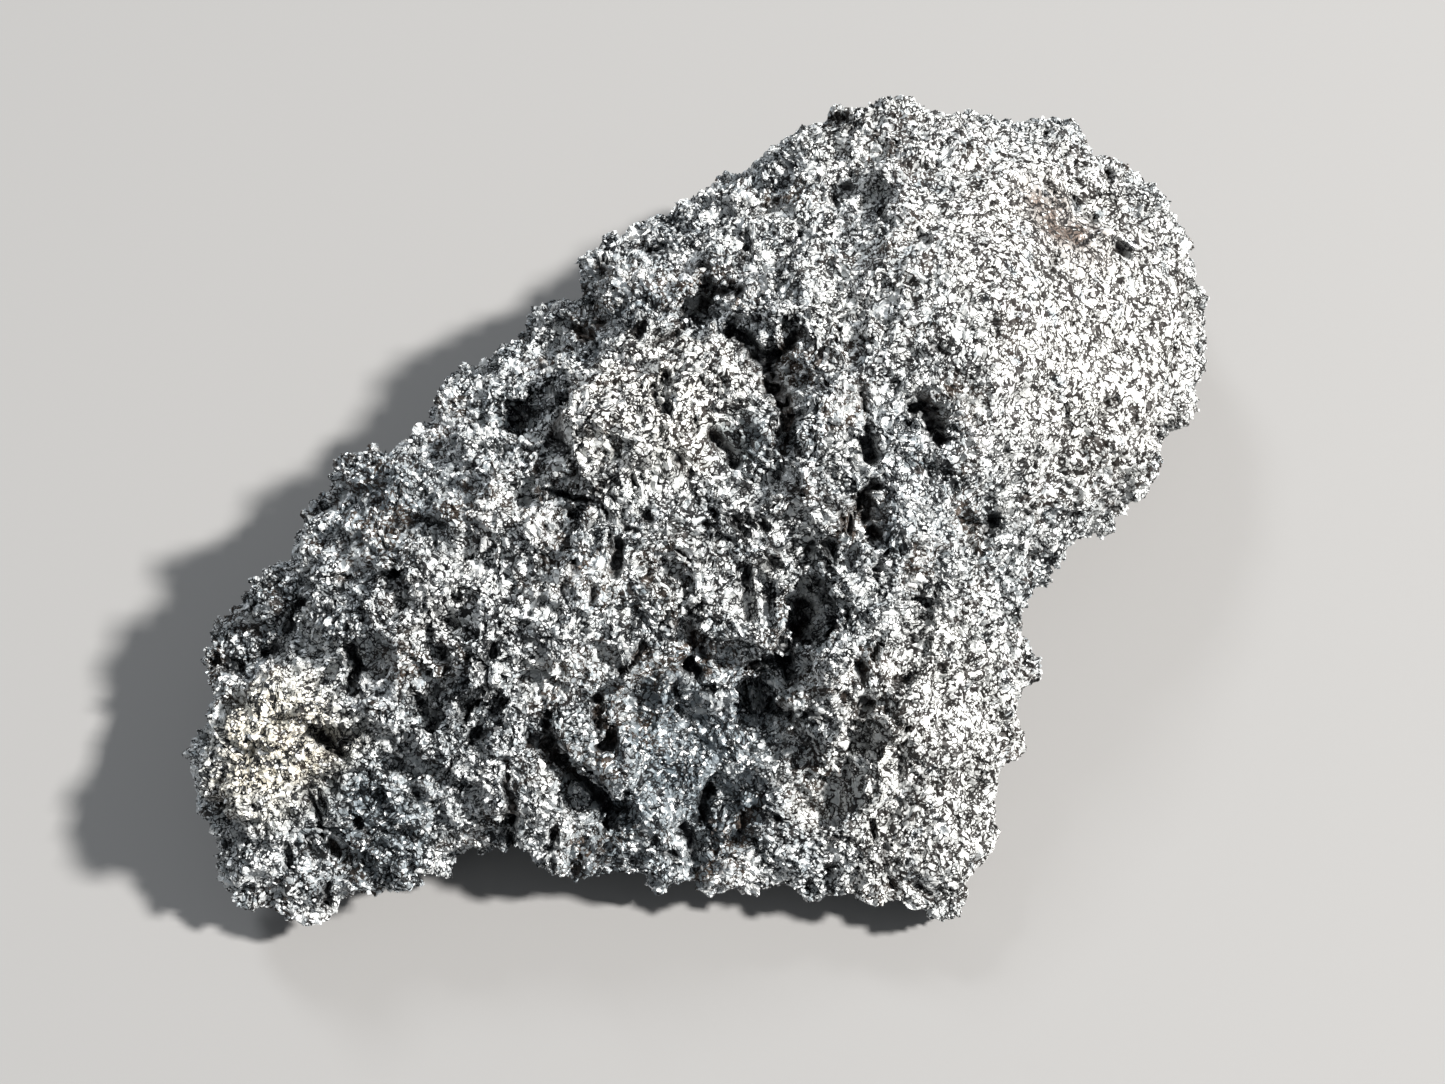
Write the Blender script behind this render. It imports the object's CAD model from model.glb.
from math import cos, pi, radians, sin

import bmesh
import bpy
import numpy as np
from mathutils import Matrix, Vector, noise


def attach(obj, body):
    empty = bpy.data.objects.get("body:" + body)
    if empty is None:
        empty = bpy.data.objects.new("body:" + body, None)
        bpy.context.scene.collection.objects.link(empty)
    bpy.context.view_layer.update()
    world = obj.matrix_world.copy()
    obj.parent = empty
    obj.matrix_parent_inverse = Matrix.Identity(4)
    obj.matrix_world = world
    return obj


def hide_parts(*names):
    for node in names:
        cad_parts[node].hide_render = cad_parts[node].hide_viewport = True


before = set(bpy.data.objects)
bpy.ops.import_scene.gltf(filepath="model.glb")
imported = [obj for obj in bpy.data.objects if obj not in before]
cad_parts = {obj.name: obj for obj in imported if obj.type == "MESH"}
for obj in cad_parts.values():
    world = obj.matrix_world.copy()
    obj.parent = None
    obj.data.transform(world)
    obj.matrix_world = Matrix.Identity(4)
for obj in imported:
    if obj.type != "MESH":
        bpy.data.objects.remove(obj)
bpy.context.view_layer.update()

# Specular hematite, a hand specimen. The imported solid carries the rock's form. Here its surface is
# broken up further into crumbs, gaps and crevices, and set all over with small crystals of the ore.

MM = 0.001
NODE = "specular_hematite"
BODY = "root"
BAKE_MAP = "OFBake"  # the map that the export bakes through

# The camera looks down on the rock as the photograph does. A place on the rock is seen at
# (across, up): millimetres to the right of and above the middle of the view, square to the sight.
SIGHT_ELEVATION = radians(60)
SIGHT_DISTANCE = 218.0
SIGHT_TARGET = Vector((-0.4, -12.4, 20.0))
TO_CAMERA = (0.0, -cos(SIGHT_ELEVATION), sin(SIGHT_ELEVATION))
LENS, FILM_WIDTH = 49.97, 36.0
DRAWN_FROM = 0.01  # what is nearer to the camera than this, in metres, isn't drawn

# The rock's mass: how its mesh is merged, how far each edge is divided, and how its corners are softened
MERGED = 1e-6  # corners of the solid's mesh that are nearer than this, in metres, are one
EDGE_CUTS = 7
ROUNDING = 0.5  # how far the divided facets bulge
SOFTEN_PASSES, SOFTEN_AMOUNT = 5, 0.5
# The mass is four closed pieces, parted along the edges of the solid's facets, each line of them as
# near to upright as they allow. Where it is parted, walls run into the rock.
SLABS = ["rock_mass_a", "rock_mass_b", "rock_mass_c", "rock_mass_d"]
PARTINGS = [-20.0, 3.0, 22.0]  # where the lines are, in millimetres to the right of the middle
WALL_DEPTH = 4.0  # how far below the surface the walls' inner edge lies
LAY_OUT_ANGLE = radians(72)  # facets that turn from each other by less are laid out together
LAY_OUT_MARGIN = 0.002  # the space between what is laid out, in widths of the map

ROUGH_SEED = 5  # draws the mass's crumbs, gaps and ragged edges
# Crumbs on the mass, each as their spacing and height in millimetres
CRUMBS = [(3.6, 0.6), (1.9, 0.6), (1.1, 0.42), (0.7, 0.26)]
CRUMB_STEP = 0.8  # how unevenly neighbouring crumbs stand out, as a part of their height
CRUMB_CROWN = 0.35  # how far a crumb's middle stands out on top of that, as a part of its height
CRUMB_WARP = (0.8, 0.45)  # they are bent out of round: spacing and amount, both in their own spacings
CRUMBS_APART = Vector((19.0, 43.0, 7.0))  # keeps one size from lining up with the next
CELL_SPREAD = 13.7  # takes neighbouring crumbs to cells of their own in the chance pattern
GAPS = (3.2, 0.1, 1.1)  # spacing of the gaps between crumbs, their width in spacings, their depth
GAP_WARP = (0.5, 0.35)  # they wander: spacing and amount, both in the gaps' spacing
GAP_PATCHES = (9.0, -0.1, 0.35)  # they open in patches: spacing, and the noise for none and full
DRAG = (2.2, 0.3)  # spacing and amount of a sideways pull, which gives the crumbs overhangs
JITTER = 0.1  # the finest unevenness, in millimetres
JITTER_CELL = 0.14  # the size of its steps
# Where the rock is calm, as (middle x, y, z, reach in mm, the share of crumbs and gaps that is left out)
CALM = [
    (38.0, 11.0, 32.0, 32.0, 0.7), (24.0, -37.0, 14.0, 19.0, 0.55), (-8.0, -6.0, 42.0, 14.0, 0.3),
    (18.0, 18.0, 38.0, 22.0, 0.4), (-4.0, -36.0, 18.0, 20.0, 0.35),
]
# Where a pale crust has closed over the crystals and evens them out, as (middle x, y, z, reach, share)
CRUSTS = [
    (39.0, 12.0, 31.0, 33.0, 1.0), (24.0, -36.0, 15.0, 24.0, 0.85), (-8.0, -7.0, 43.0, 17.0, 0.75),
    (19.0, 5.0, 44.0, 17.0, 0.55), (20.0, 32.0, 36.0, 18.0, 0.6), (1.0, -22.0, 36.0, 16.0, 0.3),
    (-27.0, -23.0, 33.0, 16.0, 0.3), (-45.0, -38.0, 26.0, 13.0, 0.4), (5.0, 16.0, 37.0, 14.0, 0.3),
]
PATCH_RISE = 1.6  # how steeply a calm or crusted patch rises from its reach to its middle
CRUST_BREAKS = (2.6, 0.35, 0.6)  # it is broken open in places: spacing, and the noise for closed and open
CRUST_NOISE = (1.0, 2.0, 2)  # how that noise's layers weaken, how much finer each is, and how many

# Crevices and small deep pits, each as its width, its depth and the (across, up) places it runs through
CREVICES = [
    (1.5, 2.0, [(-18.9, 16.0), (-18.0, 12.2), (-17.4, 10.0)]), (0.5, 1.5, [(-16.3, 8.9), (-15.8, 7.0)]),
    (0.4, 1.6, [(-19.2, 5.7), (-17.6, 5.2), (-16.0, 4.6), (-14.1, 4.6), (-13.2, 4.1)]),
    (0.5, 2.0, [(-13.2, 4.1), (-12.5, 3.3), (-11.3, 2.5), (-10.5, 1.5)]),
    (0.4, 1.4, [(-10.5, 1.5), (-9.5, 1.3), (-8.0, 2.6)]), (0.7, 1.4, [(-13.8, 5.9), (-13.2, 6.5)]),
    (0.5, 1.6, [(-7.5, 17.1), (-7.3, 14.9)]), (0.7, 2.0, [(-6.0, 18.5), (-6.0, 14.3)]),
    (0.4, 1.0, [(-6.7, 12.7), (-6.5, 11.1)]), (0.5, 1.2, [(-11.6, 10.5), (-11.4, 9.5)]),
    (0.7, 1.2, [(-14.3, 13.0), (-14.1, 12.0)]), (0.5, 1.2, [(-2.9, 13.5), (-2.7, 12.0)]),
    (1.1, 2.0, [(-1.0, 12.0), (0.7, 10.2), (1.4, 8.9)]),
    (0.8, 1.3, [(-5.1, 9.1), (-4.3, 7.6), (-3.5, 7.3)]), (0.5, 1.3, [(-10.2, 7.3), (-9.5, 5.9)]),
    (0.7, 1.3, [(-8.3, 2.8), (-7.7, 2.0)]), (1.1, 2.4, [(-11.8, 0.2), (-11.6, -1.4), (-11.5, -3.3)]),
    (0.5, 1.3, [(-17.0, 0.9), (-17.3, -0.5)]), (0.8, 1.6, [(-16.3, -2.6), (-17.4, -4.1), (-17.3, -6.1)]),
    (0.5, 1.3, [(-14.1, -5.0), (-14.3, -7.0)]), (0.5, 1.2, [(-13.5, 0.2), (-13.3, -0.5)]),
    (1.0, 2.0, [(-7.9, -3.4), (-8.3, -4.8)]), (0.9, 1.8, [(1.3, 2.1), (2.1, 1.1)]),
    (1.0, 2.2, [(1.7, -4.8), (2.8, -3.7), (4.1, -2.7), (5.9, -2.2)]),
    (1.0, 1.6, [(-3.5, -7.6), (-2.2, -6.7)]),
    (1.0, 2.8, [(0.8, 23.0), (2.5, 22.0), (4.1, 20.2), (5.3, 18.3)]),
    (1.4, 3.6, [(5.5, 17.6), (6.5, 15.4), (7.2, 13.8), (6.4, 11.7)]),
    (0.9, 2.4, [(5.0, 20.2), (7.0, 21.1), (8.4, 22.8)]), (0.7, 1.6, [(2.2, 2.3), (3.8, 2.5), (4.6, 1.6)]),
    (0.5, 1.2, [(5.0, -0.3), (6.3, -1.0)]), (0.7, 1.3, [(7.6, 0.2), (7.8, -0.7)]),
    (0.7, 1.6, [(9.9, -0.1), (9.3, -1.3)]), (0.9, 2.0, [(11.5, -0.1), (12.1, -1.5), (11.6, -2.5)]),
    (0.5, 1.3, [(6.8, 8.3), (5.9, 6.3)]), (0.5, 1.2, [(8.3, 6.3), (8.6, 5.2)]),
    (0.4, 1.0, [(8.8, 10.0), (7.4, 8.6)]), (0.4, 1.0, [(11.2, 10.2), (12.3, 8.0)]),
    (0.7, 1.6, [(14.8, 17.2), (15.3, 15.4), (15.9, 13.3), (16.2, 11.8)]),
    (1.1, 2.4, [(15.8, 10.8), (16.4, 9.3)]), (0.9, 2.4, [(16.8, 6.3), (15.2, 5.2), (13.9, 3.3)]),
    (1.0, 2.6, [(15.8, 4.6), (15.8, 2.4), (16.8, 0.9)]),
    (0.8, 1.6, [(11.5, 4.1), (12.4, 3.3), (13.2, 2.7)]), (0.7, 1.4, [(13.6, 1.7), (12.7, 1.2)]),
    (1.3, 3.0, [(20.7, 15.0), (21.7, 15.7), (22.7, 14.3)]),
    (1.2, 3.0, [(22.7, 14.3), (23.0, 12.6), (23.7, 11.2)]), (0.8, 1.8, [(19.7, 13.2), (20.8, 12.9)]),
    (0.5, 1.3, [(22.7, 8.5), (22.1, 6.6)]), (0.8, 1.4, [(24.9, 6.3), (25.1, 5.5)]),
    (0.5, 1.1, [(16.8, -2.4), (16.6, -3.8)]), (1.4, 3.2, [(8.6, -7.0), (8.3, -8.5), (7.7, -10.0)]),
    (1.3, 3.2, [(7.7, -10.0), (6.1, -12.0), (7.0, -13.0), (7.2, -14.3)]),
    (1.4, 3.2, [(4.6, -13.0), (3.0, -14.3), (3.3, -16.3), (4.5, -17.6)]),
    (1.1, 2.6, [(4.5, -17.6), (5.9, -18.2), (7.3, -18.7)]),
    (0.8, 1.8, [(11.4, -5.9), (12.8, -6.6), (13.7, -7.6), (13.0, -8.9), (11.7, -10.4)]),
    (0.4, 1.0, [(10.5, -4.1), (10.7, -5.2)]), (0.8, 1.4, [(21.3, -5.9), (22.2, -6.6)]),
    (0.7, 1.4, [(20.1, -9.5), (20.8, -10.2)]), (0.9, 1.8, [(15.1, -13.3), (15.1, -14.9)]),
    (0.5, 1.2, [(16.4, -12.5), (17.3, -11.2)]), (0.4, 1.1, [(12.6, -16.0), (13.4, -17.3)]),
    (1.0, 2.0, [(15.8, -17.1), (15.1, -18.6)]), (0.5, 1.3, [(19.0, -15.4), (20.1, -14.9)]),
    (0.8, 1.4, [(19.1, -19.6), (19.8, -20.3)]), (0.7, 1.6, [(19.7, -23.5), (19.1, -25.2)]),
    (0.5, 1.4, [(19.2, -27.9), (19.0, -29.3), (17.5, -30.7)]), (0.5, 1.3, [(16.2, -30.4), (16.8, -32.0)]),
    (0.8, 1.6, [(17.8, -33.3), (17.2, -34.9)]), (0.7, 1.5, [(18.2, -35.9), (18.8, -37.4)]),
    (0.5, 1.4, [(11.8, -35.4), (11.4, -36.8)]), (0.9, 1.7, [(6.2, -25.4), (5.3, -27.0)]),
    (0.8, 1.6, [(6.0, -30.4), (6.5, -32.4)]), (0.7, 1.2, [(27.4, -25.3), (28.2, -26.3)]),
    (0.7, 1.3, [(21.2, -37.6), (22.2, -38.5)]), (0.5, 1.0, [(24.5, -37.2), (24.7, -37.7)]),
    (0.7, 1.5, [(2.3, -30.0), (2.1, -31.5)]), (0.7, 1.2, [(9.7, -18.6), (10.8, -19.2)]),
    (0.5, 1.1, [(13.5, -23.5), (13.2, -25.4)]),
    (0.9, 2.6, [(-28.3, -19.6), (-27.9, -17.6), (-26.3, -16.5), (-24.6, -16.3)]),
    (0.9, 2.2, [(-24.6, -16.3), (-23.7, -17.4), (-24.7, -18.4)]),
    (0.9, 2.0, [(-27.4, -21.3), (-26.4, -20.2)]), (1.0, 2.0, [(-19.2, -18.9), (-18.8, -21.1)]),
    (1.4, 2.8, [(-20.5, -21.7), (-18.7, -22.1), (-17.5, -23.7)]),
    (1.4, 2.8, [(-17.5, -23.7), (-16.3, -24.9), (-14.6, -25.4), (-13.4, -27.4)]),
    (1.1, 2.4, [(-12.7, -28.5), (-11.8, -29.7), (-12.8, -30.9)]),
    (0.9, 2.4, [(-13.6, -17.0), (-13.5, -20.0)]),
    (1.1, 2.8, [(-12.4, -20.2), (-12.1, -22.2), (-13.3, -22.6)]),
    (0.4, 1.2, [(-14.3, -15.9), (-15.0, -12.4)]),
    (1.1, 2.4, [(-23.3, -26.1), (-22.9, -28.3), (-23.4, -32.2)]),
    (0.8, 1.6, [(-18.0, -31.1), (-18.6, -33.0)]), (0.8, 1.5, [(-18.5, -34.6), (-18.3, -35.2)]),
    (0.5, 1.4, [(-10.3, -27.4), (-10.9, -28.9)]),
    (0.8, 1.8, [(-8.8, -11.0), (-9.8, -12.8), (-10.9, -14.1)]), (0.8, 1.8, [(-3.5, -8.9), (-3.3, -10.9)]),
    (1.1, 2.4, [(-3.8, -13.0), (-3.2, -14.1)]), (0.5, 1.3, [(-2.0, -10.4), (-2.4, -12.2)]),
    (0.5, 1.4, [(-4.8, -15.4), (-4.8, -18.5)]), (0.8, 1.6, [(-2.1, -16.2), (-1.0, -16.0)]),
    (1.1, 2.6, [(-1.2, -26.7), (-2.1, -28.2), (-2.2, -29.9)]),
    (0.9, 2.0, [(-4.6, -30.5), (-3.5, -31.8), (-3.3, -33.7)]),
    (0.8, 1.7, [(-7.3, -32.5), (-6.7, -33.9), (-5.5, -34.1)]),
    (1.0, 2.2, [(-56.4, -13.7), (-55.0, -12.9), (-52.8, -13.7)]),
    (0.9, 1.9, [(-50.0, -12.3), (-48.5, -11.1)]), (0.7, 1.4, [(-46.0, -6.7), (-47.5, -9.6)]),
    (1.1, 2.2, [(-40.5, -11.5), (-39.8, -13.5), (-40.5, -15.2), (-39.8, -16.5)]),
    (0.5, 1.2, [(-39.1, -7.4), (-39.0, -8.6)]), (0.9, 1.7, [(-36.8, -3.7), (-34.9, -3.0)]),
    (0.5, 1.4, [(-32.7, -6.6), (-31.5, -10.2)]), (0.8, 1.7, [(-30.4, -11.5), (-30.0, -13.6)]),
    (0.7, 1.4, [(-26.3, -13.6), (-25.0, -11.2)]), (1.0, 1.9, [(-33.3, -17.0), (-32.5, -18.4)]),
    (0.8, 1.6, [(-43.7, -21.4), (-41.5, -23.3)]), (0.8, 1.4, [(-35.7, -23.7), (-35.2, -24.8)]),
    (0.8, 1.4, [(-34.1, -26.6), (-33.5, -27.5)]), (0.5, 1.3, [(-44.7, -27.8), (-43.5, -32.0)]),
    (0.9, 1.6, [(-42.8, -32.6), (-42.2, -33.5)]), (0.7, 1.5, [(-47.6, -33.0), (-47.2, -35.9)]),
    (1.0, 2.0, [(-43.4, -37.0), (-43.2, -39.1)]), (0.5, 1.4, [(-56.4, -28.2), (-53.6, -28.6)]),
    (0.5, 1.4, [(-56.6, -32.4), (-55.0, -32.8)]), (1.0, 2.2, [(-16.1, 23.3), (-14.6, 22.4), (-13.3, 23.9)]),
    (1.0, 1.9, [(-9.3, 22.8), (-8.4, 23.7)]), (0.5, 1.7, [(-7.8, 21.4), (-4.6, 23.2), (-3.3, 24.0)]),
    (0.7, 1.8, [(-2.0, 26.1), (-1.3, 25.0), (-0.3, 23.9), (0.9, 24.3)]),
    (1.0, 2.2, [(-2.1, 29.8), (-1.6, 28.3), (0.0, 27.5), (1.6, 27.3)]),
    (1.0, 2.4, [(2.2, 21.5), (3.3, 20.5)]), (0.7, 1.3, [(2.5, 33.7), (2.8, 31.1)]),
    (0.7, 1.2, [(8.5, 34.8), (8.6, 33.5)]), (0.8, 1.5, [(12.5, 37.0), (12.3, 38.3), (13.5, 38.5)]),
    (0.5, 1.2, [(17.8, 34.9), (17.2, 36.0)]), (0.9, 1.5, [(21.2, 33.6), (22.2, 32.9)]),
    (0.7, 1.3, [(13.6, 45.8), (13.9, 44.9)]), (0.4, 1.0, [(18.8, 43.8), (18.9, 42.5)]),
    (0.7, 1.2, [(23.0, 21.5), (24.0, 20.5)]), (0.8, 1.7, [(-8.0, 31.5), (-5.8, 32.1)]),
    (0.9, 1.7, [(-12.6, 29.5), (-13.4, 30.4)]), (0.8, 1.7, [(8.8, 45.8), (10.8, 46.1), (12.9, 46.5)]),
    (0.9, 1.5, [(43.2, 32.2), (43.7, 31.3)]), (0.8, 1.2, [(38.3, 37.4), (38.9, 36.4)]),
    (0.8, 1.3, [(39.7, 35.8), (40.4, 35.1)]), (0.4, 1.0, [(35.7, 29.8), (36.8, 31.3)]),
    (0.7, 1.2, [(42.0, 40.4), (42.4, 39.7)]), (0.4, 1.0, [(37.8, 24.3), (38.0, 23.3)]),
    (0.9, 1.4, [(41.1, 13.9), (42.5, 15.2)]), (0.4, 1.0, [(37.4, 14.6), (37.6, 12.1)]),
    (0.7, 1.2, [(47.4, 11.6), (47.9, 11.1)]), (1.1, 2.0, [(28.7, 1.3), (29.7, 2.5)]),
    (0.5, 1.0, [(33.2, 3.0), (33.9, 3.9)]), (0.4, 1.0, [(34.2, 11.1), (34.3, 9.0)]),
    (0.7, 1.1, [(30.9, 9.8), (31.3, 9.1)]),
]
CREVICE_WANDER = [(2.6, 0.45), (0.9, 0.3)]  # spacing and amount of what makes their edges ragged
CREVICE_BREAKS = (1.7, -0.35, 0.25)  # they are shallow in places: spacing, and the noise for none and full
CREVICE_SHALLOW = 0.3  # the part of their depth that is left there
CREVICE_WIDTH, CREVICE_WALL = 0.85, 1.7  # their half width for a width of 1, and how steep their walls are
CREVICE_FACING = (0.0, 0.3)  # they fade in as a surface turns from edge-on towards the camera
DEEP = 1.2  # the rock is darkest where a crevice or gap is this deep

# Crystals, as name: (count, sides, length in mm low and high, thickness in lengths, tilt in degrees, seed)
CRYSTALS = {
    "plates": (8500, 6, (0.5, 0.95), 0.24, 50, 11),
    "grains_a": (24500, 4, (0.42, 0.8), 0.75, 80, 23),
    "grains_b": (24500, 4, (0.4, 0.7), 0.8, 90, 37),
    "grains_c": (24500, 4, (0.36, 0.64), 0.8, 90, 41),
    "grains_d": (24500, 4, (0.34, 0.6), 0.85, 90, 59),
}
CRYSTAL_WIDTHS = [0.68, 0.82, 0.96]  # in lengths: each set has crystals of these outlines
PLATE_TOP = 0.43  # the radius of a plate's upper face in lengths, against 0.5 for its lower face
UNEVEN = 0.08  # how far a crystal's corners are out of place, in lengths
# Crystals lean alike within packets. The noise that turns the packets: its spacing in mm, and no finer layers
PACKET_NOISE = {"Scale": 1 / (3.0 * MM), "Detail": 0.0}
PACKET_TURN = 4 * pi  # how far, in radians, the whole range of that noise turns a packet
PACKET_SCATTER = 0.9  # how far, in radians, a crystal turns away from its packet
SIZE_SKEW = 1.4  # above 1, small crystals are commoner than large ones
BARE_HOLLOW = 0.5  # no crystals where crevices and gaps are deeper than this, against 1 for deep ones
SUNK = 0.12  # how far a crystal's middle lies below the mass's surface
LOWEST = 0.15  # no crystal has its middle nearer the ground than this
UNDERNEATH = (-0.5, 0.4)  # where the normal's z is below the first number, this share of them is left
BAKE_REACH = 0.42  # how far a crystal's faces reach in its cell of the bake's map, which reaches 0.5

# Steel greys of the crystals, from the darkest to the lightest, and the near white of one that glints
DARK_GREY, MID_GREY, LIGHT_GREY = "#808a90", "#b6b9ba", "#d4d4d1"
GLINT_WHITE = "#eceeef"
GLINT = (0.84, 0.9)  # between these tones a crystal turns from grey to a face that glints
CHANCE = 0.55  # how much of a crystal's tone is chance, and not that of the field that it is in
METALLIC = 0.3  # low for a metallic ore, because its many fine faces scatter the light
CRYSTAL_ROUGH, MASS_ROUGH = (0.38, 0.5), (0.5, 0.6)  # the roughness of the darkest and lightest tones
# The noises below have a spacing in mm, and Detail is how many finer layers each has
FIELD_NOISE = {"Scale": 1 / (5.0 * MM), "Detail": 2.0}  # fields of darker and lighter crystals
FIELD_TONES = (0.3, 0.7)  # the noise in the darkest and in the lightest field
# Deep between the crystals, where hardly any light gets: blue-black, and rusty in patches
GAP_BLACK, GAP_BROWN = "#0d1114", "#3a2f26"
RUST_NOISE = {"Scale": 1 / (7.0 * MM), "Detail": 2.0}
RUST = (0.5, 0.7)  # the noise where the rust starts and where it is full
HOLLOW_SHADE = 0.85  # how much darker the rock is in a deep crevice
# The pattern of crystals on the mass: a cell's size in mm, what bends the cells and how far in mm, and
# how far, against 1 for the surface's own direction, a cell leans
CELL = 0.46
CELL_WANDER = {"Scale": 1 / (0.5 * MM), "Detail": 1.0}
CELL_BEND = 0.35
CELL_LEAN = 0.8
# The gaps between the cells open in patches: the noise and its range, the widths there in cells, and
# how soft the gaps' edges are
GAP_NOISE = {"Scale": 1 / (1.1 * MM), "Detail": 2.0}
GAP_RANGE = (0.35, 0.65)
GAP_WIDTHS = (-0.1, 0.14)
GAP_EDGE = 0.1
# Seams wander over crystals and mass alike, where a twisted noise is near its middle. How far from the
# middle they reach in dark fields, in bright fields and in the crust, and how soft their edges are
SEAM_NOISE = {"Scale": 1 / (1.3 * MM), "Detail": 2.0, "Distortion": 0.6}
SEAM_FIELDS = (0.35, 0.65)  # the fields' noise that counts as dark and as bright here
SEAM_DARK, SEAM_BRIGHT, SEAM_CRUST = 0.04, -0.006, 0.033
SEAM_EDGE = 0.022
# The crust: its colour, that of the gaps in it, how much of the crystals' own tones it covers, and how far
# it levels the directions that they catch the light from
CRUST_PALE, CRUST_GAP = "#d2d2cf", "#1f1b18"
CRUST_COVER, CRUST_LEVEL = 0.85, 0.82

# Patches of another colour, as name: (middle x, y, z, reach in mm, colour, strength)
STAINS = {
    "pale_plateau": (-8.0, -8.0, 43.0, 17.0, "#eeece6", 0.55),
    "pale_left": (-27.0, -24.0, 33.0, 16.0, "#e2e2e0", 0.4),
    "cream_crust": (-46.0, -38.0, 24.0, 14.0, "#d8d0be", 0.75),
    "rusty_hollow": (37.5, 20.5, 33.5, 11.0, "#584436", 0.9),
    "fresh_bay": (-4.0, -36.0, 18.0, 20.0, "#606c74", 0.8),
    "fresh_front": (-10.0, -45.0, 10.0, 16.0, "#707a80", 0.6),
    "fresh_toe": (-36.0, -43.0, 16.0, 13.0, "#667178", 0.75),
    "fresh_pocket": (1.5, -12.0, 40.0, 6.0, "#616f76", 0.6),
    "fresh_slope": (-34.0, -15.0, 33.0, 16.0, "#6c757b", 0.8),
}
GLITTER = (0.8, 0.86)  # crystals of a tone above these numbers stay bright in every patch
# The patches break up. A patch has the first value in its middle and 0 at its reach. That value times the
# noise, less the second, is its share there, and from the third on it is whole.
STAIN_NOISE = {"Scale": 1 / (3.5 * MM), "Detail": 3.0}
STAIN_MIDDLE, STAIN_CLEAR, STAIN_WHOLE = 1.25, 0.1, 0.45

# The floor: half its side in metres, and its colour and roughness, which give a plain matte surface
FLOOR_REACH, FLOOR_GREY, FLOOR_ROUGH = 1.5, "#858483", 0.9
# The lights, as name: (azimuth, elevation, distance and side in metres, power in watts, tint)
LIGHTS = {
    "key": (-8, 48, 2.0, 0.17, 111.0, (1.0, 0.98, 0.95)),
    "fill": (125, 50, 2.0, 0.4, 16.0, (0.92, 0.96, 1.0)),
}
# The even light from all round: its tint and strength
STUDIO_TINT, STUDIO_LIGHT = (0.9, 0.95, 1.0, 1.0), 0.36


def colour(code):
    """An sRGB hex colour as linear red, green, blue and alpha."""
    parts = [int(code[i:i + 2], 16) / 255 for i in (1, 3, 5)]
    linear = [p / 12.92 if p <= 0.04045 else ((p + 0.055) / 1.055) ** 2.4 for p in parts]
    return (*linear, 1.0)


def add(tree, kind, inputs=None, **settings):
    """A node with its settings made, and each input given a value or linked to another node's output."""
    made = tree.nodes.new(kind)
    for name, value in settings.items():
        setattr(made, name, value)
    for name, value in (inputs or {}).items():
        if isinstance(value, bpy.types.NodeSocket):
            tree.links.new(value, made.inputs[name])
        else:
            made.inputs[name].default_value = value
    return made


def shown(name, mesh):
    """An object at the origin that rides on the rock's body."""
    piece = bpy.data.objects.new(name, mesh)
    bpy.context.scene.collection.objects.link(piece)
    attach(piece, BODY)
    return piece


def read_points(mesh):
    points = np.empty(len(mesh.vertices) * 3)
    mesh.vertices.foreach_get("co", points)
    return points.reshape(-1, 3)


def read_normals(mesh):
    normals = np.empty(len(mesh.vertices) * 3)
    mesh.vertex_normals.foreach_get("vector", normals)
    return normals.reshape(-1, 3)


def write_points(mesh, points):
    mesh.vertices.foreach_set("co", np.ascontiguousarray(points, dtype=np.float32).ravel())
    mesh.update()


def keep_on_points(mesh, name, values):
    """Keeps a value for each point of a mesh, for its materials and for the crystals that stand there."""
    mesh.attributes.new(name, "FLOAT", "POINT").data.foreach_set("value", values.astype(np.float32))


def ease(value):
    """0 below 0, 1 above 1, and smooth between."""
    t = np.clip(value, 0.0, 1.0)
    return t * t * (3.0 - 2.0 * t)


# The rock's mass


def divided_copy():
    """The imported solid's mesh, merged, parted, laid out for a bake, divided finely and softened."""
    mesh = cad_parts[NODE].data.copy()
    mesh.materials.clear()
    for layer in list(mesh.uv_layers):
        mesh.uv_layers.remove(layer)
    bm = bmesh.new()
    bm.from_mesh(mesh)
    bmesh.ops.remove_doubles(bm, verts=bm.verts, dist=MERGED)
    part(bm)
    bm.to_mesh(mesh)
    bm.free()
    lay_out(mesh)
    bm = bmesh.new()
    bm.from_mesh(mesh)
    bmesh.ops.subdivide_edges(bm, edges=bm.edges[:], cuts=EDGE_CUTS, use_grid_fill=True, smooth=ROUNDING)
    for _ in range(SOFTEN_PASSES):
        bmesh.ops.smooth_vert(
            bm, verts=bm.verts, factor=SOFTEN_AMOUNT, use_axis_x=True, use_axis_y=True, use_axis_z=True
        )
    bmesh.ops.triangulate(bm, faces=bm.faces[:])
    bm.normal_update()
    inside = bm.verts.layers.float_vector.new("inside")
    for v in bm.verts:
        v[inside] = v.co - v.normal * WALL_DEPTH * MM
    bm.to_mesh(mesh)
    bm.free()
    return mesh


def part(bm):
    """Notes which slab each facet is in. No slab has two facets that meet at a lone corner only."""
    slab_of = bm.faces.layers.int.new("slab")
    for face in bm.faces:
        face[slab_of] = sum(face.calc_center_median().x > x * MM for x in PARTINGS)
    pinched = True
    while pinched:
        pinched = False
        for v in bm.verts:
            parted = sum(len({face[slab_of] for face in edge.link_faces}) > 1 for edge in v.link_edges)
            if parted > 2:
                pinched = True
                lowest = min(face[slab_of] for face in v.link_faces)
                for face in v.link_faces:
                    face[slab_of] = lowest


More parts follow.
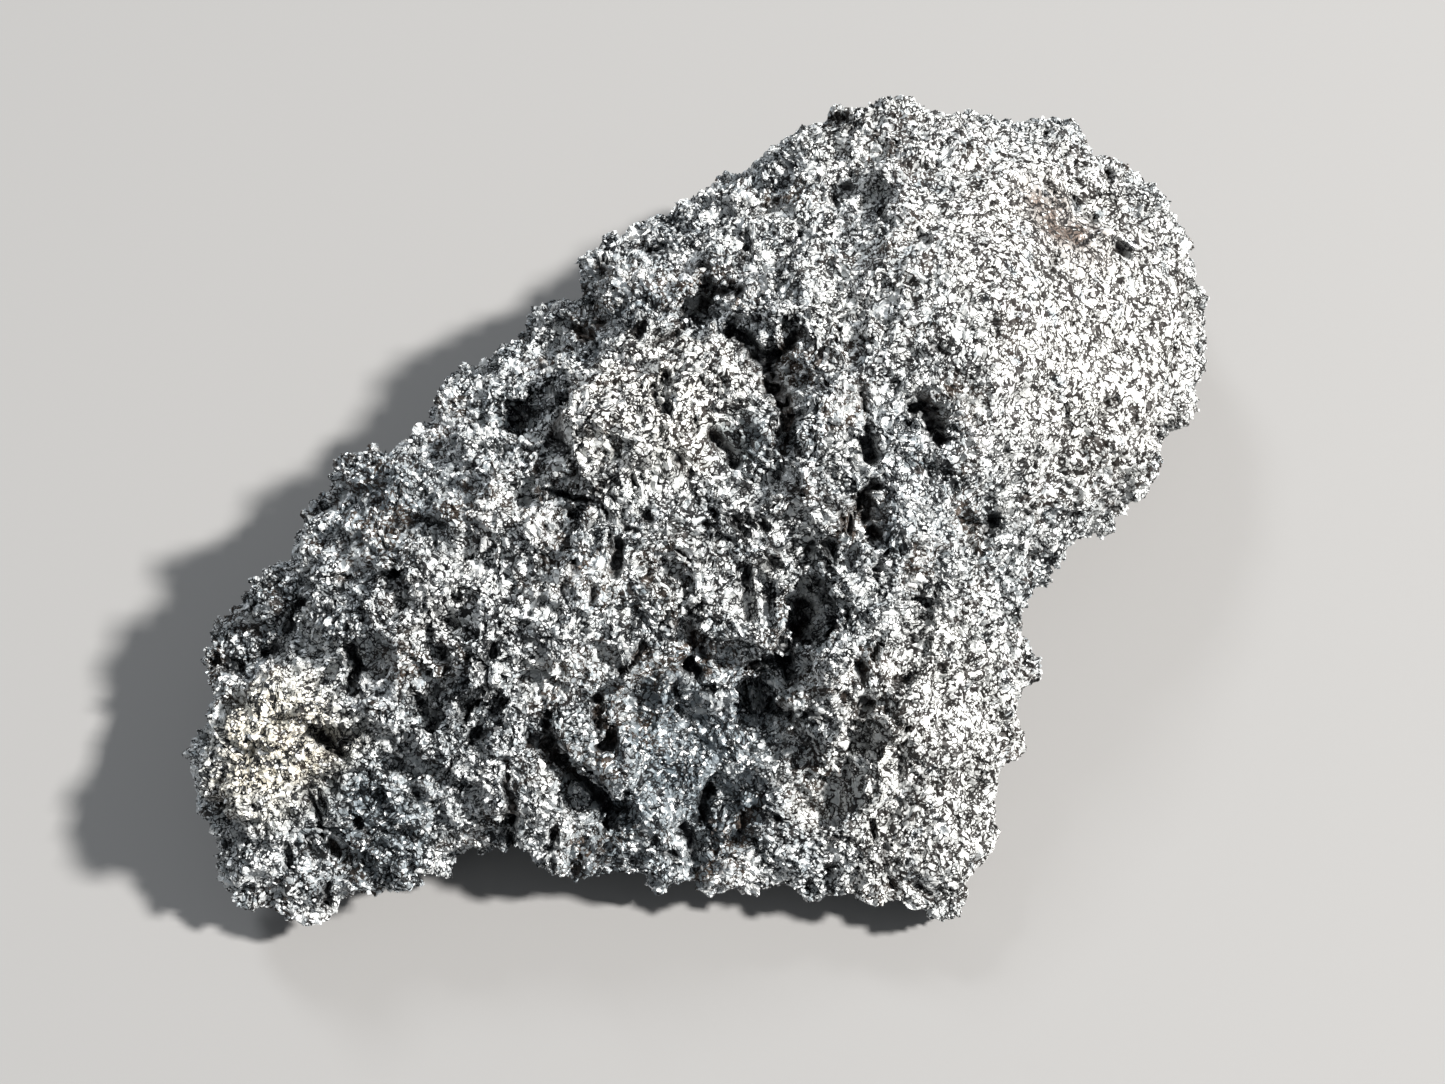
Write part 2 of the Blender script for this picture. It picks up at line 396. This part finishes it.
def lay_out(mesh):
    """Lays each slab's facets out for the export's bake."""
    slab_of = np.empty(len(mesh.polygons), np.int32)
    mesh.attributes["slab"].data.foreach_get("value", slab_of)
    mesh.uv_layers.new(name=BAKE_MAP)
    thing = bpy.data.objects.new("laying_out", mesh)
    bpy.context.scene.collection.objects.link(thing)
    bpy.context.view_layer.objects.active = thing
    bpy.context.scene.tool_settings.mesh_select_mode = (False, False, True)
    for number in range(len(SLABS)):
        mesh.polygons.foreach_set("select", slab_of == number)
        bpy.ops.object.mode_set(mode="EDIT")
        bpy.ops.uv.smart_project(
            angle_limit=LAY_OUT_ANGLE, island_margin=LAY_OUT_MARGIN, scale_to_bounds=True
        )
        bpy.ops.object.mode_set(mode="OBJECT")
    bpy.data.objects.remove(thing, do_unlink=True)


def bent(place, spacing, amount):
    """A place that is pulled aside by smooth noise."""
    return place + amount * noise.noise_vector(place / spacing)


def crumb_height(place):
    """How far the crumbs stand out at a place, in millimetres."""
    raised = 0.0
    for number, (spacing, height) in enumerate(CRUMBS):
        shifted = bent(place, CRUMB_WARP[0] * spacing, CRUMB_WARP[1] * spacing) + CRUMBS_APART * number
        distances, centres = noise.voronoi(shifted / spacing)
        step = noise.cell(centres[0] * CELL_SPREAD) - 0.5
        raised += height * (CRUMB_STEP * step + CRUMB_CROWN - distances[0] ** 2)
    return raised


def gap_depth(place):
    """How deep the gaps between the crumbs are at a place, in millimetres."""
    spacing, width, depth = GAPS
    shifted = bent(place, GAP_WARP[0] * spacing, GAP_WARP[1] * spacing)
    distances = noise.voronoi(shifted / spacing)[0]
    patch_spacing, none, full = GAP_PATCHES
    patch = ease((noise.noise(place / patch_spacing) - none) / (full - none))
    return depth * patch * ease(1.0 - (distances[1] - distances[0]) / width)


def shares(places, table):
    """How far each place is in one of the table's patches, which fade out towards their reach."""
    most = np.zeros(len(places))
    for x, y, z, reach, share in table:
        away = np.linalg.norm(places - np.array([x, y, z]), axis=1)
        most = np.maximum(most, share * ease(PATCH_RISE * (1.0 - away / reach)))
    return most


def crust_share(places):
    """How far the crust has closed over each place."""
    spacing, closed, opened = CRUST_BREAKS
    drawn = np.array([noise.fractal(p / spacing, *CRUST_NOISE) for p in places])
    broken = ease((drawn - closed) / (opened - closed))
    return shares(np.array(places), CRUSTS) * (1.0 - broken)


def to_sight(points):
    """Where places in millimetres are seen: their (across, up)."""
    rise, run = sin(SIGHT_ELEVATION), cos(SIGHT_ELEVATION)
    away = points - np.array(SIGHT_TARGET)
    shrink = 1.0 - (rise * away[:, 2] - run * away[:, 1]) / SIGHT_DISTANCE
    seen = np.stack([away[:, 0], rise * away[:, 1] + run * away[:, 2]], 1)
    return seen / shrink[:, None]


def distance_to_line(seen, line):
    """How far each seen place is from a broken line."""
    best = np.full(len(seen), np.inf)
    for start, end in zip(line, line[1:]):
        start, end = np.array(start), np.array(end)
        along = end - start
        t = np.clip((seen - start) @ along / (along @ along), 0.0, 1.0)
        away = seen - start - t[:, None] * along
        best = np.minimum(best, np.hypot(away[:, 0], away[:, 1]))
    return best


def crevice_depth(places):
    """How deep the crevices are at each place, in millimetres."""
    seen = to_sight(places)
    for spacing, amount in CREVICE_WANDER:
        seen += amount * np.array([noise.noise_vector(Vector(p) / spacing).xy for p in places])
    spacing, none, full = CREVICE_BREAKS
    drawn = np.array([noise.noise(Vector(p) / spacing) for p in places])
    whole = ease((drawn - none) / (full - none))
    depths = np.zeros(len(seen))
    for width, depth, line in CREVICES:
        middle, reach = np.mean(line, 0), np.ptp(line, 0).max() + width
        near = np.flatnonzero(np.abs(seen - middle).max(1) < reach)
        gap = distance_to_line(seen[near], line) / (width * CREVICE_WIDTH)
        depths[near] = np.maximum(depths[near], depth * ease(CREVICE_WALL * (1.0 - gap)))
    return depths * (CREVICE_SHALLOW + (1.0 - CREVICE_SHALLOW) * whole)


def roughen(mesh):
    """Breaks the mass up into crumbs, gaps and crevices. What lies on the ground stays flat on it."""
    noise.seed_set(ROUGH_SEED)
    points, normals = read_points(mesh), read_normals(mesh)
    places = [Vector(p) / MM for p in points]
    rugged = 1.0 - shares(points / MM, CALM)
    keep_on_points(mesh, "crust", crust_share(places))
    gaps = np.array([gap_depth(p) for p in places]) * rugged
    heights = np.array([crumb_height(p) for p in places]) * rugged - gaps
    spacing, amount = DRAG
    pulled = np.array([noise.noise_vector(p / spacing) for p in places]) * amount
    loose = (np.array([noise.cell_vector(p / JITTER_CELL) for p in places]) - 0.5) * JITTER
    points = points / MM + normals * heights[:, None] + pulled + loose
    sight = np.array(TO_CAMERA)
    none, full = CREVICE_FACING
    carved = crevice_depth(points) * ease((normals @ sight - none) / (full - none))
    points -= sight * carved[:, None]
    points[:, 2] = np.maximum(points[:, 2], 0.0)
    write_points(mesh, points * MM)
    keep_on_points(mesh, "hollow", np.clip((carved + gaps) / DEEP, 0.0, 1.0))


def slab(mesh, name, number):
    """One of the parts that the mass is parted into, with a wall where it was parted."""
    bm = bmesh.new()
    bm.from_mesh(mesh)
    slab_of = bm.faces.layers.int["slab"]
    bmesh.ops.delete(bm, geom=[face for face in bm.faces if face[slab_of] != number], context="FACES")
    rim = [edge for edge in bm.edges if edge.is_boundary]
    wall = bmesh.ops.extrude_edge_only(bm, edges=rim)["geom"]
    inside = bm.verts.layers.float_vector["inside"]
    for v in wall:
        if isinstance(v, bmesh.types.BMVert):
            v.co = v[inside]
    inner = [edge for edge in wall if isinstance(edge, bmesh.types.BMEdge) and edge.is_boundary]
    bmesh.ops.holes_fill(bm, edges=inner, sides=0)
    bmesh.ops.triangulate(bm, faces=bm.faces[:])
    result = bpy.data.meshes.new(name)
    bm.to_mesh(result)
    bm.free()
    for extra in ("slab", "inside"):
        result.attributes.remove(result.attributes[extra])
    return result


# The crystals


def crystal(name, sides, thickness, width):
    """One crystal, a millimetre long: a flat prism with slanting sides, or a squat double pyramid."""
    bm = bmesh.new()
    if sides == 4:
        bmesh.ops.create_uvsphere(bm, u_segments=4, v_segments=2, radius=0.5)
        bmesh.ops.scale(bm, vec=(1.0, 1.0, thickness), verts=bm.verts)
    else:
        bmesh.ops.create_cone(
            bm, cap_ends=True, segments=sides, radius1=0.5, radius2=PLATE_TOP, depth=thickness
        )
    bmesh.ops.scale(bm, vec=(1.0, width, 1.0), verts=bm.verts)
    for v in bm.verts:
        v.co += noise.random_unit_vector() * UNEVEN
    bmesh.ops.scale(bm, vec=(MM, MM, MM), verts=bm.verts)
    mesh = bpy.data.meshes.new(name)
    bm.to_mesh(mesh)
    bm.free()
    return bpy.data.objects.new(name, mesh)


def crystal_shapes(name, sides, thickness):
    collection = bpy.data.collections.new(name + "_shapes")
    for number, width in enumerate(CRYSTAL_WIDTHS):
        collection.objects.link(crystal(f"{name}_{number}", sides, thickness, width))
    return collection


def area_to_cover(mesh):
    """The mass's area in square metres, what faces down counted only as far as crystals cover it."""
    areas, facing = np.empty(len(mesh.polygons)), np.empty(len(mesh.polygons) * 3)
    mesh.polygons.foreach_get("area", areas)
    mesh.polygons.foreach_get("normal", facing)
    downward = facing.reshape(-1, 3)[:, 2] < UNDERNEATH[0]
    return float((areas * np.where(downward, UNDERNEATH[1], 1.0)).sum())


def scattered(tree, mass, density, seed):
    """Places for the crystals on the mass, clear of the ground and of the deep hollows, and sunk in a little.

    Gives the points, the turn and the direction of the surface at each, and the place.
    """
    normal = add(tree, "GeometryNodeInputNormal").outputs[0]
    upward = add(tree, "ShaderNodeSeparateXYZ", {0: normal}).outputs["Z"]
    upward = add(tree, "ShaderNodeMath", {0: upward, 1: UNDERNEATH[0]}, operation="GREATER_THAN").outputs[0]
    share = add(tree, "ShaderNodeMix", {0: upward, 2: UNDERNEATH[1], 3: 1.0}).outputs[0]
    hollow = add(tree, "GeometryNodeInputNamedAttribute", {"Name": "hollow"}, data_type="FLOAT").outputs[0]
    level = add(tree, "ShaderNodeMath", {0: hollow, 1: BARE_HOLLOW}, operation="LESS_THAN").outputs[0]
    share = add(tree, "ShaderNodeMath", {0: share, 1: level}, operation="MULTIPLY").outputs[0]
    density = add(tree, "ShaderNodeMath", {0: share, 1: density}, operation="MULTIPLY").outputs[0]
    spots = add(tree, "GeometryNodeDistributePointsOnFaces", {"Mesh": mass, "Density": density, "Seed": seed})
    place = add(tree, "GeometryNodeInputPosition").outputs[0]
    height = add(tree, "ShaderNodeSeparateXYZ", {0: place}).outputs["Z"]
    low = add(tree, "ShaderNodeMath", {0: height, 1: LOWEST * MM}, operation="LESS_THAN").outputs[0]
    points = add(tree, "GeometryNodeDeleteGeometry",
                 {"Geometry": spots.outputs["Points"], "Selection": low}, domain="POINT").outputs[0]
    turn = spots.outputs["Rotation"]
    below = add(tree, "FunctionNodeRotateVector",
                {"Vector": (0.0, 0.0, -SUNK * MM), "Rotation": turn}).outputs[0]
    points = add(tree, "GeometryNodeSetPosition", {"Geometry": points, "Offset": below}).outputs[0]
    return points, turn, spots.outputs["Normal"], place


def scatter_tree(name, area):
    """Geometry nodes that set one kind of crystal all over a mesh, and give them back as one mesh."""
    count, sides, (shortest, longest), thickness, tilt, seed = CRYSTALS[name]
    tree = bpy.data.node_groups.new(name, "GeometryNodeTree")
    tree.interface.new_socket("Mass", in_out="INPUT", socket_type="NodeSocketGeometry")
    tree.interface.new_socket("Crystals", in_out="OUTPUT", socket_type="NodeSocketGeometry")
    mass = add(tree, "NodeGroupInput").outputs[0]
    points, facing, lay, place = scattered(tree, mass, count / area, seed)

    # What each crystal draws by chance: inputs 2 and 3 are the least and the most, 4 and 5 whole ones
    draws = {}
    for title, number, least, most in (
        ("around", 0, -PACKET_SCATTER, PACKET_SCATTER), ("over", 1, 0.0, radians(tilt)),
        ("spin", 2, 0.0, 2 * pi), ("size", 3, 0.0, 1.0), ("tone", 5, 0.0, 1.0),
    ):
        draws[title] = add(tree, "FunctionNodeRandomValue", {2: least, 3: most, "Seed": seed * 10 + number},
                           data_type="FLOAT").outputs[1]
    outline = add(tree, "FunctionNodeRandomValue",
                  {4: 0, 5: len(CRYSTAL_WIDTHS) - 1, "Seed": seed * 10 + 4}, data_type="INT").outputs[2]

    packets = add(tree, "ShaderNodeTexNoise", {"Vector": place, **PACKET_NOISE}).outputs[0]
    packets = add(tree, "ShaderNodeMath", {0: packets, 1: PACKET_TURN}, operation="MULTIPLY").outputs[0]
    around = add(tree, "ShaderNodeMath", {0: packets, 1: draws["around"]}).outputs[0]
    for axis, angle in (("Z", around), ("X", draws["over"]), ("Z", draws["spin"])):
        turn = add(tree, "ShaderNodeCombineXYZ", {axis: angle}).outputs[0]
        turn = add(tree, "FunctionNodeEulerToRotation", {0: turn}).outputs[0]
        facing = add(tree, "FunctionNodeRotateRotation", {0: facing, 1: turn},
                     rotation_space="LOCAL").outputs[0]
    size = add(tree, "ShaderNodeMath", {0: draws["size"], 1: SIZE_SKEW}, operation="POWER").outputs[0]
    length = add(tree, "ShaderNodeMath", {0: size, 1: longest - shortest, 2: shortest},
                 operation="MULTIPLY_ADD").outputs[0]
    shapes = add(tree, "GeometryNodeCollectionInfo",
                 {"Collection": crystal_shapes(name, sides, thickness), "Separate Children": True,
                  "Reset Children": True}).outputs[0]
    crystals = add(tree, "GeometryNodeInstanceOnPoints",
                   {"Points": points, "Instance": shapes, "Pick Instance": True,
                    "Instance Index": outline, "Rotation": facing, "Scale": length}).outputs[0]

    # What each crystal keeps for its material and for its place in the bake's map
    index = add(tree, "GeometryNodeInputIndex").outputs[0]
    for title, kind, value in (
        ("place", "FLOAT_VECTOR", place), ("lay", "FLOAT_VECTOR", lay), ("tone", "FLOAT", draws["tone"]),
        ("number", "FLOAT", index),
    ):
        crystals = add(tree, "GeometryNodeStoreNamedAttribute",
                       {"Geometry": crystals, "Name": title, "Value": value}, data_type=kind,
                       domain="INSTANCE").outputs[0]
    joined = add(tree, "GeometryNodeRealizeInstances", {"Geometry": crystals}).outputs[0]
    add(tree, "NodeGroupOutput", {0: joined})
    return tree


def cells_for_bake(mesh):
    """Gives each crystal one square cell of the map that the export bakes through."""
    numbers = np.empty(len(mesh.vertices), np.float32)
    mesh.attributes["number"].data.foreach_get("value", numbers)
    first = np.empty(len(mesh.polygons), np.int32)
    corners = np.empty(len(mesh.polygons), np.int32)
    mesh.polygons.foreach_get("loop_start", first)
    mesh.polygons.foreach_get("loop_total", corners)
    vertex = np.empty(len(mesh.loops), np.int32)
    mesh.loops.foreach_get("vertex_index", vertex)
    owner = np.unique(numbers[vertex], return_inverse=True)[1]
    across = int(np.ceil(np.sqrt(owner.max() + 1)))
    turn = 2 * pi * (np.arange(len(vertex)) - np.repeat(first, corners)) / np.repeat(corners, corners)
    spread = np.stack([np.cos(turn), np.sin(turn)], 1) * BAKE_REACH + 0.5
    cell = np.stack([owner % across, owner // across], 1)
    layer = mesh.uv_layers.new(name=BAKE_MAP)
    layer.data.foreach_set("uv", ((cell + spread) / across).astype(np.float32).ravel())


def crystal_set(name, mass, area):
    """One kind of crystal, over the whole rock."""
    noise.seed_set(CRYSTALS[name][-1])
    working = bpy.data.objects.new("working", mass)
    bpy.context.scene.collection.objects.link(working)
    modifier = working.modifiers.new("scatter", "NODES")
    modifier.node_group = scatter_tree(name, area)
    graph = bpy.context.evaluated_depsgraph_get()
    mesh = bpy.data.meshes.new_from_object(working.evaluated_get(graph))
    bpy.data.objects.remove(working, do_unlink=True)
    points = read_points(mesh)
    points[:, 2] = np.maximum(points[:, 2], 0.0)
    write_points(mesh, points)
    cells_for_bake(mesh)
    mesh.name = name
    mesh.materials.clear()
    return shown(name, mesh)


# The finish


def stained(tree, base, chance, place):
    """The base colour with the rock's patches of other colours laid over it."""
    dull = add(tree, "ShaderNodeMapRange",
               {"Value": chance, "From Min": GLITTER[0], "From Max": GLITTER[1], "To Min": 1.0,
                "To Max": 0.0}).outputs[0]
    noisy = add(tree, "ShaderNodeTexNoise", {"Vector": place, **STAIN_NOISE}).outputs[0]
    for x, y, z, reach, code, strength in STAINS.values():
        away = add(tree, "ShaderNodeVectorMath", {0: place, 1: (x * MM, y * MM, z * MM)},
                   operation="DISTANCE").outputs["Value"]
        inside = add(tree, "ShaderNodeMapRange",
                     {"Value": away, "From Max": reach * MM, "To Min": STAIN_MIDDLE, "To Max": 0.0},
                     interpolation_type="SMOOTHSTEP").outputs[0]
        broken = add(tree, "ShaderNodeMath", {0: inside, 1: noisy, 2: -STAIN_CLEAR},
                     operation="MULTIPLY_ADD").outputs[0]
        share = add(tree, "ShaderNodeMapRange",
                    {"Value": broken, "From Max": STAIN_WHOLE, "To Max": strength}).outputs[0]
        share = add(tree, "ShaderNodeMath", {0: share, 1: dull}, operation="MULTIPLY").outputs[0]
        base = add(tree, "ShaderNodeMix", {0: share, 6: base, 7: colour(code)}, data_type="RGBA").outputs[2]
    return base


def tones(tree, chance, fields):
    """Each crystal's grey, which follows chance and the field that it is in. A few glint near white."""
    even = add(tree, "ShaderNodeMapRange",
               {"Value": fields, "From Min": FIELD_TONES[0], "From Max": FIELD_TONES[1],
                "To Max": 1.0 - CHANCE}).outputs[0]
    tone = add(tree, "ShaderNodeMath", {0: chance, 1: CHANCE, 2: even}, operation="MULTIPLY_ADD").outputs[0]
    ramp = add(tree, "ShaderNodeValToRGB", {"Fac": tone})
    ramp.color_ramp.elements[0].color = colour(DARK_GREY)
    ramp.color_ramp.elements[1].color = colour(LIGHT_GREY)
    ramp.color_ramp.elements.new(0.5).color = colour(MID_GREY)
    glint = add(tree, "ShaderNodeMapRange",
                {"Value": chance, "From Min": GLINT[0], "From Max": GLINT[1]}).outputs[0]
    return add(tree, "ShaderNodeMix", {0: glint, 6: ramp.outputs[0], 7: colour(GLINT_WHITE)},
               data_type="RGBA").outputs[2]


def gap_colour(tree, crust, place):
    """What shows in the gaps: blue-black, rusty in patches, and brown-black in the crust."""
    rust = add(tree, "ShaderNodeTexNoise", {"Vector": place, **RUST_NOISE}).outputs[0]
    rusty = add(tree, "ShaderNodeMapRange",
                {"Value": rust, "From Min": RUST[0], "From Max": RUST[1]}).outputs[0]
    gap = add(tree, "ShaderNodeMix", {0: rusty, 6: colour(GAP_BLACK), 7: colour(GAP_BROWN)},
              data_type="RGBA").outputs[2]
    return add(tree, "ShaderNodeMix", {0: crust, 6: gap, 7: colour(CRUST_GAP)}, data_type="RGBA").outputs[2]


def seams(tree, place, fields, crust):
    """Dark seams that wander between the crystals: 0 in a seam, 1 away from them."""
    wander = add(tree, "ShaderNodeTexNoise", {"Vector": place, **SEAM_NOISE}).outputs[0]
    away = add(tree, "ShaderNodeMath", {0: wander, 1: 0.5}, operation="SUBTRACT").outputs[0]
    away = add(tree, "ShaderNodeMath", {0: away}, operation="ABSOLUTE").outputs[0]
    width = add(tree, "ShaderNodeMapRange",
                {"Value": fields, "From Min": SEAM_FIELDS[0], "From Max": SEAM_FIELDS[1],
                 "To Min": SEAM_DARK, "To Max": SEAM_BRIGHT}).outputs[0]
    width = add(tree, "ShaderNodeMix", {0: crust, 2: width, 3: SEAM_CRUST}).outputs[0]
    beyond = add(tree, "ShaderNodeMath", {0: away, 1: width}, operation="SUBTRACT").outputs[0]
    return add(tree, "ShaderNodeMapRange", {"Value": beyond, "From Max": SEAM_EDGE}).outputs[0]


def hematite(name, values, rough):
    """Specular hematite, an iron oxide grown as small tabular crystals, with a pale crust over some.

    To the eye it is steel grey with a metallic sheen: some crystals glint, others stay dark, and dark
    seams and gaps part them. The crust dulls it to an even light grey.
    """
    material = bpy.data.materials.new(name)
    material.use_nodes = True
    tree = material.node_tree
    shader = tree.nodes["Principled BSDF"]
    crust = add(tree, "ShaderNodeAttribute", attribute_name="crust").outputs["Fac"]
    place, chance, between, normal = values(tree, crust)
    fields = add(tree, "ShaderNodeTexNoise", {"Vector": place, **FIELD_NOISE}).outputs[0]
    over = add(tree, "ShaderNodeMath", {0: crust, 1: CRUST_COVER}, operation="MULTIPLY").outputs[0]
    crusted = add(tree, "ShaderNodeMix", {0: over, 6: tones(tree, chance, fields), 7: colour(CRUST_PALE)},
                  data_type="RGBA").outputs[2]
    base = stained(tree, crusted, chance, place)
    hollow = add(tree, "ShaderNodeAttribute", attribute_name="hollow").outputs["Fac"]
    lit = add(tree, "ShaderNodeMath", {0: hollow, 1: -HOLLOW_SHADE, 2: 1.0},
              operation="MULTIPLY_ADD").outputs[0]
    for share in (seams(tree, place, fields, crust), *between):
        lit = add(tree, "ShaderNodeMath", {0: lit, 1: share}, operation="MULTIPLY").outputs[0]
    shade = add(tree, "ShaderNodeMix", {0: lit, 6: gap_colour(tree, crust, place), 7: base},
                data_type="RGBA").outputs[2]
    tree.links.new(shade, shader.inputs["Base Color"])
    shine = add(tree, "ShaderNodeMapRange", {"Value": chance, "To Min": rough[0], "To Max": rough[1]})
    tree.links.new(shine.outputs[0], shader.inputs["Roughness"])
    tree.links.new(normal, shader.inputs["Normal"])
    shader.inputs["Metallic"].default_value = METALLIC
    return material


def crystal_values(tree, crust):
    """Each crystal has its own tone. A crust over the crystals makes them catch the light more alike."""
    chance = add(tree, "ShaderNodeAttribute", attribute_name="tone").outputs["Fac"]
    place = add(tree, "ShaderNodeAttribute", attribute_name="place").outputs["Vector"]
    lay = add(tree, "ShaderNodeAttribute", attribute_name="lay").outputs["Vector"]
    own = add(tree, "ShaderNodeNewGeometry").outputs["Normal"]
    level = add(tree, "ShaderNodeMath", {0: crust, 1: CRUST_LEVEL}, operation="MULTIPLY").outputs[0]
    leant = add(tree, "ShaderNodeMix", {0: level, 4: own, 5: lay}, data_type="VECTOR").outputs[1]
    normal = add(tree, "ShaderNodeVectorMath", {0: leant}, operation="NORMALIZE").outputs[0]
    return place, chance, (), normal


def mass_values(tree, crust):
    """On the mass the crystals are a pattern: cells of one tone and lean each, with dark gaps between."""
    place = add(tree, "ShaderNodeTexCoord").outputs["Object"]
    wander = add(tree, "ShaderNodeTexNoise", {"Vector": place, **CELL_WANDER}).outputs["Color"]
    away = add(tree, "ShaderNodeVectorMath", {0: wander, 1: (0.5, 0.5, 0.5)}, operation="SUBTRACT").outputs[0]
    pulled = add(tree, "ShaderNodeVectorMath", {0: away, 1: (CELL_BEND * MM,) * 3, 2: place},
                 operation="MULTIPLY_ADD").outputs[0]
    pattern = {"Vector": pulled, "Scale": 1 / (CELL * MM)}
    cells = add(tree, "ShaderNodeTexVoronoi", pattern).outputs["Color"]
    edges = add(tree, "ShaderNodeTexVoronoi", pattern, feature="DISTANCE_TO_EDGE").outputs[0]
    patches = add(tree, "ShaderNodeTexNoise", {"Vector": place, **GAP_NOISE}).outputs[0]
    width = add(tree, "ShaderNodeMapRange",
                {"Value": patches, "From Min": GAP_RANGE[0], "From Max": GAP_RANGE[1],
                 "To Min": GAP_WIDTHS[0], "To Max": GAP_WIDTHS[1]}).outputs[0]
    clear = add(tree, "ShaderNodeMath", {0: edges, 1: width}, operation="SUBTRACT").outputs[0]
    between = add(tree, "ShaderNodeMapRange", {"Value": clear, "From Max": GAP_EDGE}).outputs[0]
    lean = add(tree, "ShaderNodeVectorMath", {0: cells, 1: (0.5, 0.5, 0.5)}, operation="SUBTRACT").outputs[0]
    outward = add(tree, "ShaderNodeNewGeometry").outputs["Normal"]
    amount = add(tree, "ShaderNodeMath", {0: crust, 1: -CELL_LEAN * CRUST_LEVEL, 2: CELL_LEAN},
                 operation="MULTIPLY_ADD").outputs[0]
    leant = add(tree, "ShaderNodeVectorMath", {0: lean, 1: amount, 2: outward},
                operation="MULTIPLY_ADD").outputs[0]
    normal = add(tree, "ShaderNodeVectorMath", {0: leant}, operation="NORMALIZE").outputs[0]
    chance = add(tree, "ShaderNodeSeparateColor", {0: cells}).outputs[0]
    return place, chance, (between,), normal


# The surroundings


def floor():
    bm = bmesh.new()
    bmesh.ops.create_grid(bm, x_segments=1, y_segments=1, size=FLOOR_REACH)
    mesh = bpy.data.meshes.new("floor")
    bm.to_mesh(mesh)
    bm.free()
    material = bpy.data.materials.new("pale_matte_floor")
    material.use_nodes = True
    shader = material.node_tree.nodes["Principled BSDF"]
    shader.inputs["Base Color"].default_value = colour(FLOOR_GREY)
    shader.inputs["Roughness"].default_value = FLOOR_ROUGH
    mesh.materials.append(material)
    plane = bpy.data.objects.new("floor", mesh)
    bpy.context.scene.collection.objects.link(plane)


def soft_light(name, azimuth, elevation, distance, size, power, tint):
    """A square soft light that faces the rock. Azimuth 0 is from the right, and 90 from behind."""
    light = bpy.data.lights.new(name, "AREA")
    light.size, light.energy, light.color = size, power, tint
    lamp = bpy.data.objects.new(name, light)
    around, up = radians(azimuth), radians(elevation)
    away = Vector((cos(around) * cos(up), sin(around) * cos(up), sin(up)))
    lamp.location = away * distance
    lamp.rotation_euler = away.to_track_quat("Z", "Y").to_euler()
    bpy.context.scene.collection.objects.link(lamp)


def surroundings():
    floor()
    for name, values in LIGHTS.items():
        soft_light(name, *values)
    world = bpy.data.worlds.new("studio")
    world.use_nodes = True
    background = world.node_tree.nodes["Background"]
    background.inputs["Color"].default_value = STUDIO_TINT
    background.inputs["Strength"].default_value = STUDIO_LIGHT
    bpy.context.scene.world = world
    bpy.context.scene.view_settings.view_transform = "Standard"


def camera():
    lens = bpy.data.cameras.new("camera")
    lens.lens, lens.sensor_width = LENS, FILM_WIDTH
    lens.clip_start = DRAWN_FROM
    seen_from = bpy.data.objects.new("camera", lens)
    seen_from.location = (SIGHT_TARGET + Vector(TO_CAMERA) * SIGHT_DISTANCE) * MM
    seen_from.rotation_euler = (pi / 2 - SIGHT_ELEVATION, 0.0, 0.0)
    bpy.context.scene.collection.objects.link(seen_from)
    bpy.context.scene.camera = seen_from


mass = divided_copy()
roughen(mass)
# Between the crystals the mass is duller to the eye: its faces are too fine to glint one by one
mass_finish = hematite("hematite_mass", mass_values, MASS_ROUGH)
for number, title in enumerate(SLABS):
    piece = shown(title, slab(mass, title, number))
    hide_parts(NODE)
    piece.data.materials.append(mass_finish)
# The crystals are smoother, and catch the light one by one
crystal_finish = hematite("hematite_crystals", crystal_values, CRYSTAL_ROUGH)
covered = area_to_cover(mass)
for kind in CRYSTALS:
    piece = crystal_set(kind, mass, covered)
    piece.data.materials.append(crystal_finish)
surroundings()
camera()
